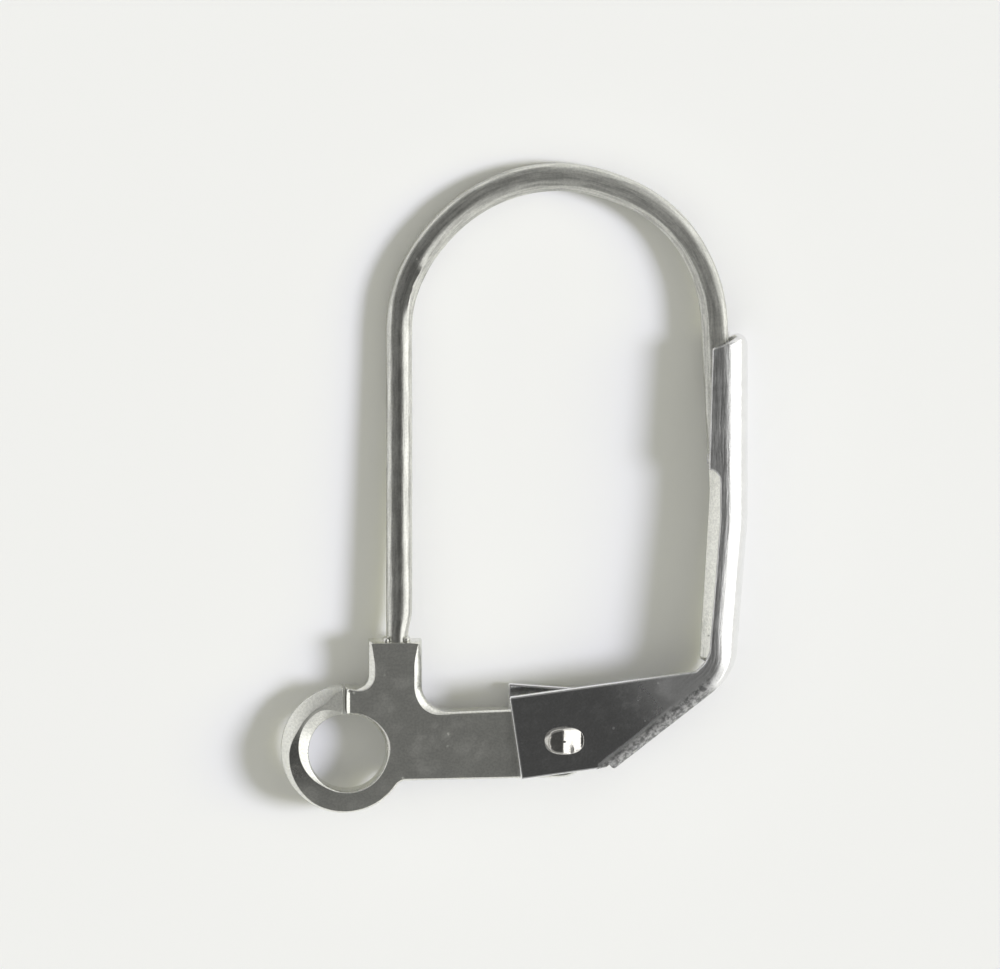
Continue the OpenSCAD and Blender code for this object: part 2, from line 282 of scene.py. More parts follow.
def wire(mesh, sides=72):
    """Round wire with a pressed arch and a pressed tail."""
    points = wire_path()
    rows = []
    count = len(points)

    def ring(p, t, run, scale=1.0, lean=0.0):
        """Adds the points round p, where the wire runs along t. run is its length up to there, and scale and
        lean draw the points in and tip their normals where the end is rounded."""
        v = p - ARCH_C
        turn = math.degrees(math.atan2(v.y, v.x))
        pressed = 1 - smooth(turn, *PRESS_ANGLES) if p.y > ARCH_C.y else 0.0
        if p.x > 0:
            pressed = max(pressed, smooth(p.y, *PRESS_HEIGHTS))
        inner = smooth(turn, *BROAD_RIGHT) * (1 - smooth(turn, *BROAD_LEFT)) if p.y > ARCH_C.y else 0.0
        slim = 0.0 if p.x > 0 else SLIM * (1 - smooth(p.y, *SLIM_HEIGHTS))
        broad = BROAD * inner - slim
        flat = smooth(-p.y, -TAIL_FLAT_FROM, -TAIL_FLAT_FULL) if p.x > 0 else 0.0
        side = Vector((t.y, -t.x, 0))
        high = math.sin(math.radians(turn)) ** 2
        powers = (mix(2, OUTER_POWER, pressed), mix(2, INNER_POWER, pressed))
        shape = (WIRE_R + broad / 2, WIRE_R, powers, (LEAST_CROWN + MORE_CROWN * high) * pressed)
        worn = pressed * (high if turn > 90 else 1)
        finish = (mix(mix(LEG_ROUGH, ARCH_ROUGH, worn), TAIL_ROUGH, flat), 1 - flat)
        row = []
        for k in range(sides):
            a = 2 * math.pi * (k + 0.5) / sides
            q = section(*shape, a)
            slope = section(*shape, a + 0.01) - section(*shape, a - 0.01)
            n = Vector((slope.y, -slope.x)).normalized()
            over = q.dot(TAIL_FLAT) - mix(WIRE_R, TAIL_FLAT_REACH, flat)
            if over > 0:
                q -= TAIL_FLAT * over
                n = n.lerp(TAIL_FLAT, smooth(over, 0.0, FLAT_EDGE)).normalized()
            grain = (run, q.x, q.y)
            wobble = noise.noise(Vector((run * 1.1, math.cos(a) * 0.6, math.sin(a) * 0.6)))
            wobble += 0.4 * noise.noise(Vector((run * 4.0, math.cos(a), math.sin(a) + 7.0)))
            q *= 1 + UNEVEN * wobble
            q = Vector(((q.x + broad / 2) * scale + FURTHER_IN * inner, q.y * scale))
            face = side * n.x + Vector((0, 0, n.y)) + Vector((t.x, t.y, 0)) * lean
            spot = Vector((p.x, p.y, 0)) + side * q.x + Vector((0, 0, q.y))
            row.append(mesh.add(spot, face, finish, grain))
        return row

    run = 0.0
    for i, p in enumerate(points):
        t = (points[min(i + 1, count - 1)] - points[max(i - 1, 0)]).normalized()
        run += (p - points[max(i - 1, 0)]).length
        rows.append(ring(p, t, run))
    t = (points[-1] - points[-2]).normalized()
    end = points[-1] + t * (WIRE_R - TAIL_ROUND)
    for step in range(TAIL_ROUND_STEPS):
        a = math.radians(90 * step / TAIL_ROUND_STEPS)
        rows.append(ring(end + t * TAIL_ROUND * math.sin(a), t, run, math.cos(a), math.tan(a)))
    for a, b in zip(rows, rows[1:]):
        mesh.strip(a, b)
    tip = points[-1] + t * WIRE_R
    mesh.fan(rows[-1], mesh.add((tip.x, tip.y, 0), (t.x, t.y, 0)))
    mesh.fan(rows[0], mesh.add((points[0].x, points[0].y, 0), (0, -1, 0)))


BEAD_UNEVEN = 0.18


def bead(mesh, centre, size, rings=10, sides=20):
    """Small uneven drop of solder."""
    rows = []
    for i in range(1, rings):
        polar = math.pi * i / rings
        row = []
        for k in range(sides):
            a = 2 * math.pi * k / sides
            n = Vector((math.sin(polar) * math.cos(a), math.sin(polar) * math.sin(a), math.cos(polar)))
            bump = 1 + BEAD_UNEVEN * noise.noise(n * 1.3 + centre)
            row.append(mesh.add(centre + Vector((n.x * size[0], n.y * size[1], n.z * size[2])) * bump,
                                Vector((n.x / size[0], n.y / size[1], n.z / size[2]))))
        rows.append(row)
    for a, b in zip(rows, rows[1:]):
        mesh.strip(a, b)
    mesh.fan(rows[0], mesh.add(centre + Vector((0, 0, size[2])), (0, 0, 1)))
    mesh.fan(rows[-1], mesh.add(centre - Vector((0, 0, size[2])), (0, 0, -1)))


RING_C, RING_R = Vector((-5.35, -0.245)), 1.545
HOLE_C, HOLE_R = RING_C + Vector((0.07, -0.06)), 0.95
CUT = 0.06
TAB_END_C, TAB_END_R, TAB_BOTTOM, TAB_TOP = Vector((-0.1, -0.09)), 0.86, -1.0, 0.68
FILLET, STEM_FILLET, BEVEL_END = 0.3, 0.66, 0.4
SHANK_GAP_R = 0.41
LIP_W, LIP_H = 0.1, 0.045
# The plate's metal gets shinier towards the left and up, and duller towards the ring's cut, in these ranges.
SHINY_X, SHINY_Y, DULL_X, DULL_ANGLES = (-5.7, -5.1), (-1.5, -0.3), (-5.95, -5.6), (130, 178)
PLATE_ROUGH, BEVEL_ROUGH, DULL_ROUGH = 0.33, 0.18, 0.6
# How far the hole's bevel reaches, and where the plate has a row of points round it
HOLE_BEVEL, HOLE_ROW = 0.2, 0.15
SOLDER = ((Vector((-4.32, 2.45, 0.14)), (0.1, 0.1, 0.2)), (Vector((-3.84, 2.47, 0.14)), (0.11, 0.09, 0.2)))


def foot_plate(mesh):
    """Stem, hinge tab and charm ring. The outline runs clockwise from the stem's upper left corner."""
    reach = RING_R + FILLET
    beside = STEM_LEFT - FILLET
    above = Vector((beside, RING_C.y + math.sqrt(reach ** 2 - (beside - RING_C.x) ** 2)))
    low = TAB_BOTTOM - FILLET
    below = Vector((RING_C.x + math.sqrt(reach ** 2 - (low - RING_C.y) ** 2), low))
    above_angle = math.degrees(math.atan2(above.y - RING_C.y, above.x - RING_C.x))
    below_angle = math.degrees(math.atan2(below.y - RING_C.y, below.x - RING_C.x))
    cut_out = math.degrees(math.asin(CUT / 2 / RING_R))
    cut_left = math.degrees(math.acos((RING_C.x - CUT / 2 - HOLE_C.x) / HOLE_R))
    cut_right = math.degrees(math.acos((RING_C.x + CUT / 2 - HOLE_C.x) / HOLE_R))
    hollow = Vector((STEM_RIGHT + STEM_FILLET, TAB_TOP + STEM_FILLET))
    loop, size = [], []

    def run(points, first, last=None):
        """Adds a stretch of the outline, whose edge changes evenly from first to last."""
        last = last or first
        for i, p in enumerate(points):
            t = i / max(len(points) - 1, 1)
            loop.append(p)
            size.append(tuple(mix(*pair, t) for pair in zip(first, last)))

    # Width, depth and power of the edges
    left_edge, right_edge = (0.16, 0.17, 1.1), (0.19, 0.17, 1.1)
    narrow, thin, tip, crisp = (0.05, 0.07, 1.2), (0.04, 0.05, 1.2), (0.03, 0.03, 1.2), (0.04, 0.1, 1.2)
    cut_edge = (0.02, 0.02, 2)
    outer_low, outer_left, outer_top = (0.05, 0.1, 1.2), (0.2, 0.24, 1.1), (0.32, 0.31, 1.03)
    hole_low, hole_right = (0.05, 0.06, 1.2), (0.13, 0.13, 1.1)
    hole_left, hole_top = (0.25, 0.17, 1.1), (0.31, 0.21, 1.03)
    bevel_low = STEM_TOP - BEVEL_END
    run(line(Vector((STEM_LEFT, STEM_TOP)), Vector((STEM_RIGHT, STEM_TOP))), crisp)
    run(line(Vector((STEM_RIGHT, STEM_TOP)), Vector((STEM_RIGHT, bevel_low))), crisp, right_edge)
    run(line(Vector((STEM_RIGHT, bevel_low)), Vector((STEM_RIGHT, hollow.y))), right_edge)
    run(arc(hollow, STEM_FILLET, 180, 230), right_edge)
    run(arc(hollow, STEM_FILLET, 230, 270), right_edge, narrow)
    run(line(Vector((hollow.x, TAB_TOP)), TAB_END_C + TAB_END_R * along(92)), narrow)
    run(arc(TAB_END_C, TAB_END_R, 92, -90), narrow)
    run(line(TAB_END_C - Vector((0, TAB_END_R)), Vector((below.x, TAB_BOTTOM))), narrow)
    run(arc(below, FILLET, 90, 180 + below_angle), narrow, outer_low)
    run(arc(RING_C, RING_R, below_angle, -120), outer_low)
    run(arc(RING_C, RING_R, -120, -180), outer_low, outer_left)
    run(arc(RING_C, RING_R, -180, -205), outer_left, outer_top)
    run(arc(RING_C, RING_R, -205, -250), outer_top)
    run(arc(RING_C, RING_R, -250, -270 + cut_out), outer_top, tip)
    left = RING_C + RING_R * along(90 + cut_out)
    run(line(left, HOLE_C + HOLE_R * along(cut_left), 0.07), tip)
    run(arc(HOLE_C, HOLE_R, cut_left, 124), tip, hole_top)
    run(arc(HOLE_C, HOLE_R, 124, 155), hole_top)
    run(arc(HOLE_C, HOLE_R, 155, 180), hole_top, hole_left)
    run(arc(HOLE_C, HOLE_R, 180, 240), hole_left, hole_low)
    run(arc(HOLE_C, HOLE_R, 240, 340), hole_low)
    run(arc(HOLE_C, HOLE_R, 340, 375), hole_low, hole_right)
    run(arc(HOLE_C, HOLE_R, 375, 360 + cut_right), hole_right, narrow)
    run(line(HOLE_C + HOLE_R * along(cut_right), RING_C + RING_R * along(90 - cut_out), 0.05), cut_edge)
    run(arc(RING_C, RING_R, 90 - cut_out, above_angle), narrow)
    run(arc(above, FILLET, 180 + above_angle, 360), narrow, left_edge)
    run(line(Vector((STEM_LEFT, above.y)), Vector((STEM_LEFT, bevel_low))), left_edge)
    run(line(Vector((STEM_LEFT, bevel_low)), Vector((STEM_LEFT, STEM_TOP))), left_edge, crisp)
    hole = arc(Vector((0, 0)), SHANK_GAP_R, 0, 360, 0.08)

    cut_x = RING_C.x + CUT / 2
    lip_end_x = cut_x + LIP_W

    def on_lip(p):
        return cut_x - 0.01 < p.x < lip_end_x and p.y > HOLE_C.y + HOLE_R / 2

    def lift(p, depth):
        slope = LIP_H / LIP_W if on_lip(p) and depth < PLATE_T / 2 else 0.0
        spot = Vector((p.x, p.y, PLATE_T / 2 - depth + slope * (lip_end_x - p.x)))
        return spot, Vector((1, 0, -slope)), Vector((0, 1, 0)), Vector((slope, 0, 1)).normalized()

    def finish(p, on_edge):
        """Shinier at the ring's left and on bevels, and dull beside the ring's cut."""
        shiny = (1 - smooth(p.x, *SHINY_X)) * smooth(p.y, *SHINY_Y)
        near_hole = (p - HOLE_C).length < HOLE_R + HOLE_BEVEL
        if on_lip(p) or on_edge and (near_hole or p.y > TAB_TOP):
            shiny = 1.0
        dull = smooth(p.x, *DULL_X) if p.x < RING_C.x and p.y > 0.5 else 0.0
        if not on_edge and p.x < cut_x and p.y > RING_C.y:
            v = p - RING_C
            dull = max(dull, 1 - smooth(math.degrees(math.atan2(v.y, v.x)), *DULL_ANGLES))
        return (mix(mix(PLATE_ROUGH, BEVEL_ROUGH, shiny), DULL_ROUGH, dull), 0.0)

    inner_points = []
    for i in range(10):
        lip_y = HOLE_C.y + HOLE_R + 0.06 + 0.05 * i
        inner_points += [Vector((lip_end_x - 0.004, lip_y)), Vector((lip_end_x, lip_y))]
    inner_points += [HOLE_C + (HOLE_R + HOLE_ROW) * along(a) for a in range(-100, 70, 5)]
    sizes = [eased(size), [thin] * len(hole)]
    rounded_sheet(mesh, [loop, hole], sizes, PLATE_T, lift, inner_points, finish)
    for centre, radii in SOLDER:
        bead(mesh, centre, radii)


# Lever

HALF_W, SHEET_T = 0.64, 0.22
ARM_BACK, KNEE_Y, KNEE_R, ARM_LEAN = 4.512, 5.48, 3.0, 4.5
WEB_REACH, WEB_SLOPE, WEB_START = 1.344, 37.9, 0.5
BEND_R, FOLD_R = 1.4, 0.27
NECK_IN, BACK_NECK_IN, BACK_NECK_HEIGHTS = 0.7, 0.5, (1.6, 3.0)
FLANGE_LOW, FLANGE_W, FLANGE_TOP, FLANGE_LEAN, NOTCH_R = 6.65, 0.975, 9.62, 1.5, 0.3
END_SLANT, BACK_CORNER_R, FLANGE_CORNER_R = 18, 0.16, 0.1
FRONT_TOP, FRONT_BOTTOM, FRONT_SLOPE = Vector((-1.36, 1.08)), Vector((-1.05, -0.96)), 7.5
BACK_TOP, BACK_BOTTOM, BACK_SLOPE = Vector((-1.32, 1.27)), Vector((-1.3, -0.85)), -4.5
SHANK_SEAT_R = 0.325
# Width, depth and power of the sheet's edges
EDGE, SEAT_EDGE = (0.06, 0.07, 2), (0.03, 0.04, 2)
CHEEK_ROUGH, STRIP_ROUGH, FOLD_ROUGH = 0.1, 0.32, 0.6
# Where the strips beside the half-round get worn and streaky, by the distance along the sheet
WORN_FROM, STREAKY_FROM = (0.9, 3.2), (2.6, 4.5)
FINE_STEP, COARSE_STEP = 0.09, 0.15

web_dir = along(WEB_SLOPE)
web_out = along(WEB_SLOPE - 90)
web_foot = WEB_REACH * web_out
web_turn = WEB_SLOPE - 90
turn_angle = -ARM_LEAN - web_turn
knee_c = Vector((ARM_BACK - KNEE_R, KNEE_Y))
knee_end = knee_c + KNEE_R * along(-ARM_LEAN)
lean_dir = along(90 - ARM_LEAN)


def cross(p, d, q, m):
    """Where the line from p along d crosses the line through q whose normal is m."""
    return p + d * ((q - p).dot(m) / d.dot(m))


corner = cross(knee_end, lean_dir, web_foot, web_out)
tangent = BEND_R * math.tan(math.radians(turn_angle / 2))
bend_low = corner - tangent * web_dir
bend_high = corner + tangent * lean_dir
bend_c = bend_high - BEND_R * along(-ARM_LEAN)
S_BEND = bend_low.dot(web_dir)
S_LEAN = S_BEND + BEND_R * math.radians(turn_angle)
S_KNEE = S_LEAN + (knee_end - bend_high).length
S_ARM = S_KNEE + KNEE_R * math.radians(ARM_LEAN)


def on_line(s):
    """Point of the outer line at distance s along it, with its outward direction."""
    if s < S_BEND:
        return web_foot + web_dir * s, web_out
    if s < S_LEAN:
        out = along(web_turn + math.degrees((s - S_BEND) / BEND_R))
        return bend_c + BEND_R * out, out
    if s < S_KNEE:
        return bend_high + lean_dir * (s - S_LEAN), along(-ARM_LEAN)
    if s < S_ARM:
        out = along(-ARM_LEAN + math.degrees((s - S_KNEE) / KNEE_R))
        return knee_c + KNEE_R * out, out
    return Vector((ARM_BACK, KNEE_Y + s - S_ARM)), Vector((1, 0))


def to_line(p):
    """The distance along the outer line and the depth under it of a point in the side view."""
    s = p.dot(web_dir)
    if s < S_BEND:
        return s, WEB_REACH - p.dot(web_out)
    v = p - bend_c
    angle = math.degrees(math.atan2(v.y, v.x))
    if angle < -ARM_LEAN and p.y < bend_high.y:
        return S_BEND + BEND_R * math.radians(angle - web_turn), BEND_R - v.length
    s = (p - bend_high).dot(lean_dir)
    if s < S_KNEE - S_LEAN:
        return S_LEAN + s, -(p - bend_high).dot(along(-ARM_LEAN))
    if p.y < KNEE_Y:
        v = p - knee_c
        return S_KNEE + KNEE_R * (math.radians(ARM_LEAN) + math.atan2(v.y, v.x)), KNEE_R - v.length
    return S_ARM + p.y - KNEE_Y, ARM_BACK - p.x


def fold(s):
    """Fold radius: tight beside the web, half-round up the arm."""
    return mix(FOLD_R, HALF_W, smooth(s, S_BEND - 0.5, S_LEAN + 0.5))


def fold_end(s):
    """Distance round the sheet from its middle to where the leg turns flat."""
    r = fold(s)
    return HALF_W - r + r * math.pi / 2


def lift_lever(p, depth):
    """p is the distance along the outer line and the distance round the sheet from its middle."""
    s, v = p.x, p.y
    spot, out = on_line(s)
    r = fold(s)
    a = min(max((abs(v) - (HALF_W - r)) / r, 0), math.pi / 2)
    z = min(abs(v), HALF_W - r) + r * math.sin(a)
    n = r * (1 - math.cos(a)) + max(abs(v) - fold_end(s), 0)
    side = 1 if v >= 0 else -1
    face = Vector((out.x * math.cos(a), out.y * math.cos(a), side * math.sin(a)))
    round_dir = Vector((-out.x * math.sin(a), -out.y * math.sin(a), side * math.cos(a))) * side
    base = Vector((spot.x - out.x * n, spot.y - out.y * n, side * z))
    return base - face * depth, Vector((-out.y, out.x, 0)), round_dir, face


def leg_point(p, side):
    """Place on the flat sheet of a point of one side in the side view."""
    s, n = to_line(p)
    return Vector((s, side * (fold_end(s) + n - fold(s))))


def arm_end_height(x):
    """Height of the arm's slanted, rounded end at x in the side view."""
    rise = math.tan(math.radians(END_SLANT))
    top = FLANGE_TOP + (x - (ARM_BACK - FLANGE_W)) * rise - 0.02
    round_at = ARM_BACK - BACK_CORNER_R
    if x > round_at:
        top += math.sqrt(max(BACK_CORNER_R ** 2 - (x - round_at) ** 2, 0)) - BACK_CORNER_R
        top -= (x - round_at) * rise
    return top


def dense(points, step=0.07):
    """The line through the points, with more points along it."""
    out = []
    for a, b in zip(points, points[1:]):
        out += line(a, b, step)
    return out + [points[-1]]


def side_outline(side):
    """Free edge of one side in the side view, from the arm's end down to the web's lower end."""
    notch_c = Vector((ARM_BACK - NECK_IN - NOTCH_R, FLANGE_LOW - NOTCH_R))
    left = ARM_BACK - FLANGE_W
    top_x = left + (FLANGE_TOP - FLANGE_LOW) * math.tan(math.radians(FLANGE_LEAN))
    corner_x = top_x + FLANGE_CORNER_R
    corner_c = Vector((corner_x, arm_end_height(corner_x) - FLANGE_CORNER_R))
    points = [corner_c + FLANGE_CORNER_R * along(a) for a in (95, 120, 145, 170)]
    points.append(Vector((left, FLANGE_LOW)))
    points += arc(notch_c, NOTCH_R, 68, 0)
    neck = []
    for i in range(200):
        p, out = on_line(S_ARM + 0.8 - 0.1 * i)
        inset = NECK_IN if side > 0 else mix(BACK_NECK_IN, NECK_IN, smooth(p.y, *BACK_NECK_HEIGHTS))
        if p.y < notch_c.y:
            neck.append(p - out * inset)
    if side > 0:
        slope = along(FRONT_SLOPE)
        top, bottom = FRONT_TOP, FRONT_BOTTOM
        neck = [p for p in neck if (p - top).dot(Vector((-slope.y, slope.x))) > 0.05 and p.x > 3]
        points += neck
        down = neck[-1] - neck[-3]
        meet = cross(top, slope, neck[-1], Vector((-down.y, down.x)))
        points += [meet, top + (meet - top).normalized() * 0.05, top + Vector((0.02, -0.06)), bottom]
    else:
        slope = along(BACK_SLOPE)
        top, bottom = BACK_TOP, BACK_BOTTOM
        meet = cross(top, slope, web_foot - 0.5 * web_out, web_out)
        points += [p for p in neck if p.x > meet.x + 0.05 and to_line(p)[0] > meet.dot(web_dir)]
        points += [meet, top + slope * 0.04, top + Vector((0.01, -0.05)), bottom]
    web_end = web_foot + WEB_START * web_dir
    points += [web_end + Vector((-0.18, 0.07)), web_end - 0.16 * web_out - 0.01 * web_dir]
    return dense(points)


def lever(mesh):
    """Folded sheet. Its outline on the flat sheet runs from the front side's lower end up the front, round
    the arm's end, down the back and along the web's lower edge."""
    front = [leg_point(p, 1) for p in side_outline(1)]
    back = [leg_point(p, -1) for p in side_outline(-1)]
    end = []
    steps = 40
    for i in range(1, steps):
        v = mix(front[0].y, back[0].y, i / steps)
        spot, _, _, _ = lift_lever(Vector((S_ARM + 4, v)), 0)
        end.append(Vector((S_ARM + arm_end_height(spot.x) - KNEE_Y, v)))
    web_back = Vector((WEB_START, back[-1].y + 0.06))
    web_front = Vector((WEB_START, front[-1].y - 0.06))
    web_edge = dense([back[-1], web_back, web_front, front[-1]])[1:-1]
    loop = front[::-1] + end + back + web_edge
    around = [SHANK_SEAT_R * along(a) for a in range(0, 360, 12)]
    holes = [[leg_point(p, side) for p in around] for side in (1, -1)]
    holes = [h if area(h) > 0 else h[::-1] for h in holes]
    if area(loop) > 0:
        loop = loop[::-1]
    inner = []
    s = -3.0
    while s < S_ARM + 4.6:
        end_v = fold_end(s)
        flat = HALF_W - fold(s)
        rows = [flat * k / 2 for k in range(0, 3)]
        rows += [flat + (end_v - flat) * k / 12 for k in range(1, 13)]
        rows += [end_v + COARSE_STEP * k for k in range(1, 24)]
        for v in rows:
            for side in ((1, -1) if v > 1e-6 else (1,)):
                inner.append(Vector((s, side * v)))
        s += FINE_STEP if S_BEND - 0.6 < s < S_ARM + 0.1 else COARSE_STEP
    keep = [p for p in inner if well_inside(p, loop, holes)]
    rounding = [[EDGE] * len(loop)] + [[SEAT_EDGE] * len(h) for h in holes]
    rounded_sheet(mesh, [loop] + holes, rounding, SHEET_T, lift_lever, keep, wear)


def wear(p, _):
    """Finish of the sheet: polished cheeks, drawn flat strips beside the half-round of the arm, and rough
    folds where it was stretched round the web."""
    r = fold(p.x)
    bent = (abs(p.y) - (HALF_W - r)) / r
    strip = smooth(bent, 1.1, 1.5)
    across = smooth(abs(p.y), HALF_W - FOLD_R - 0.02, HALF_W - FOLD_R + 0.05)
    across *= 1 - smooth(abs(p.y), fold_end(p.x), fold_end(p.x) + 0.08)
    rough = across * (1 - smooth(p.x, S_BEND - 0.3, S_BEND + 0.4))
    worn = strip * smooth(p.x, *WORN_FROM)
    streaky = strip * smooth(p.x, *STREAKY_FROM) * (1 - rough)
    return (mix(mix(CHEEK_ROUGH, STRIP_ROUGH, worn), FOLD_ROUGH, rough), streaky)


def area(loop):
    """Area of the loop, below 0 where it is clockwise."""
    return sum(a.x * b.y - b.x * a.y for a, b in zip(loop, loop[1:] + loop[:1])) / 2


def well_inside(p, loop, holes, margin=0.1):
    """True if p lies in the loop and clear of its rounded edge and of the holes."""
    for a, b in zip(loop, loop[1:] + loop[:1]):
        d = b - a
        t = min(max((p - a).dot(d) / max(d.length_squared, 1e-12), 0), 1)
        if (a + d * t - p).length < margin:
            return False
    clear = all(min((q - p).length for q in h) > margin * 0.7 and not within(p, h) for h in holes)
    return clear and within(p, loop)


# Rivet

HEAD_R, FRONT_H, BACK_H, SHANK_R = 0.48, 0.185, 0.26, 0.31
FRONT_HALF_Y, FRONT_POWER, RIM_POWER, LEAST_H = 0.34, 2.4, 14, 0.008
# The front head falls off to the right from here, by this slope.
FALL_X, FALL = -0.04, 0.39
# Depth, middle and half sizes of the dents
DENTS = ((0.07, (0.15, -0.27), (0.05, 0.12)), (0.03, (0.3, -0.32), (0.04, 0.07)))


def front_top(x, y):
    """Height of the front head: hammered oval, flat on its left and falling off to the right, with dents."""
    t = ((abs(x) / HEAD_R) ** FRONT_POWER + (abs(y) / FRONT_HALF_Y) ** FRONT_POWER) ** (1 / FRONT_POWER)
    past = x - FALL_X
    z = FRONT_H - FALL * (past + math.hypot(past, 0.02)) / 2
    z *= min(mix(0.1, 1, (x + HEAD_R) / 0.15), 1)
    for depth, (dent_x, dent_y), (wide, high) in DENTS:
        z -= depth * math.exp(-((x - dent_x) / wide) ** 2 - ((y - dent_y) / high) ** 2)
    z += 0.006 * noise.noise(Vector((x * 6.0, y * 6.0, 4.2)))
    return max(z, LEAST_H) * math.sqrt(max(1 - t ** RIM_POWER, 0))


def back_top(x, y):
    """Height of the domed back head."""
    radius = (HEAD_R ** 2 + BACK_H ** 2) / (2 * BACK_H)
    return math.sqrt(max(radius ** 2 - x * x - y * y, 0)) - (radius - BACK_H)


# How far out on a head its rows of points lie, and how far apart its slope is measured
HEAD_ROWS = (0.1, 0.2, 0.3, 0.4, 0.5, 0.6, 0.68, 0.76, 0.83, 0.88, 0.92, 0.95, 0.975, 0.99, 0.996)
TINY = 0.001


def rivet(mesh, sides=72):
    """Shank with a peened front head and a domed back head."""
    turns = [2 * math.pi * i / sides for i in range(sides)]
    shank = [(math.cos(a), math.sin(a)) for a in turns]

    def head(side, half_y, squareness, top):
        """Adds one head and returns the ring of points where the shank meets it."""
        around = []
        for a in turns:
            c, s = math.cos(a), math.sin(a)
            around.append((HEAD_R * math.copysign(abs(c) ** squareness, c),
                           half_y * math.copysign(abs(s) ** squareness, s)))
        rows = []
        for t in HEAD_ROWS:
            row = []
            for x, y in ((x * t, y * t) for x, y in around):
                dx = (top(x + TINY, y) - top(x - TINY, y)) / (2 * TINY)
                dy = (top(x, y + TINY) - top(x, y - TINY)) / (2 * TINY)
                row.append(mesh.add((x, y, side * (HALF_W + top(x, y))), (-dx, -dy, side)))
            rows.append(row)
        rows.append([mesh.add((x, y, side * HALF_W), mesh.normals[i])
                     for (x, y), i in zip(around, rows[-1])])
        for a, b in zip(rows, rows[1:]):
            mesh.strip(a, b)
        mesh.fan(rows[0], mesh.add((0, 0, side * (HALF_W + top(0, 0))), (0, 0, side)))
        seat = [mesh.add((SHANK_R * x, SHANK_R * y, side * HALF_W), (x, y, 0)) for x, y in shank]
        mesh.strip(rows[-1], seat)
        return seat

    front_seat = head(1, FRONT_HALF_Y, 2 / FRONT_POWER, front_top)
    back_seat = head(-1, HEAD_R, 1.0, back_top)
    mesh.strip(front_seat, back_seat)


# Materials

class Nodes:
    """Short names for the few shader nodes that are used."""

    def __init__(self, tree):
        self.tree = tree
        tree.nodes.clear()

    def node(self, kind, **values):
        made = self.tree.nodes.new(kind)
        for name, value in values.items():
            if hasattr(made, name):
                setattr(made, name, value)
            else:
                self.feed(made.inputs[name.replace("_", " ").title()], value)
        return made

    def feed(self, socket, value):
        if isinstance(value, bpy.types.NodeSocket):
            self.tree.links.new(value, socket)
        else:
            socket.default_value = value

    def math(self, operation, a, b=0.0, c=0.0):
        made = self.tree.nodes.new("ShaderNodeMath")
        made.operation = operation
        for socket, value in zip(made.inputs, (a, b, c)):
            self.feed(socket, value)
        return made.outputs[0]

    def ramp(self, value, low, high, to_low=0.0, to_high=1.0):
        made = self.tree.nodes.new("ShaderNodeMapRange")
        made.interpolation_type = "SMOOTHSTEP"
        for socket, given in zip(made.inputs, (value, low, high, to_low, to_high)):
            self.feed(socket, given)
        return made.outputs[0]

    def noise(self, where, scale, detail=3.0, roughness=0.5):
        made = self.tree.nodes.new("ShaderNodeTexNoise")
        self.feed(made.inputs["Vector"], where)
        made.inputs["Scale"].default_value = scale
        made.inputs["Detail"].default_value = detail
        made.inputs["Roughness"].default_value = roughness
        return made.outputs["Fac"]


BUMP_M = 0.000004


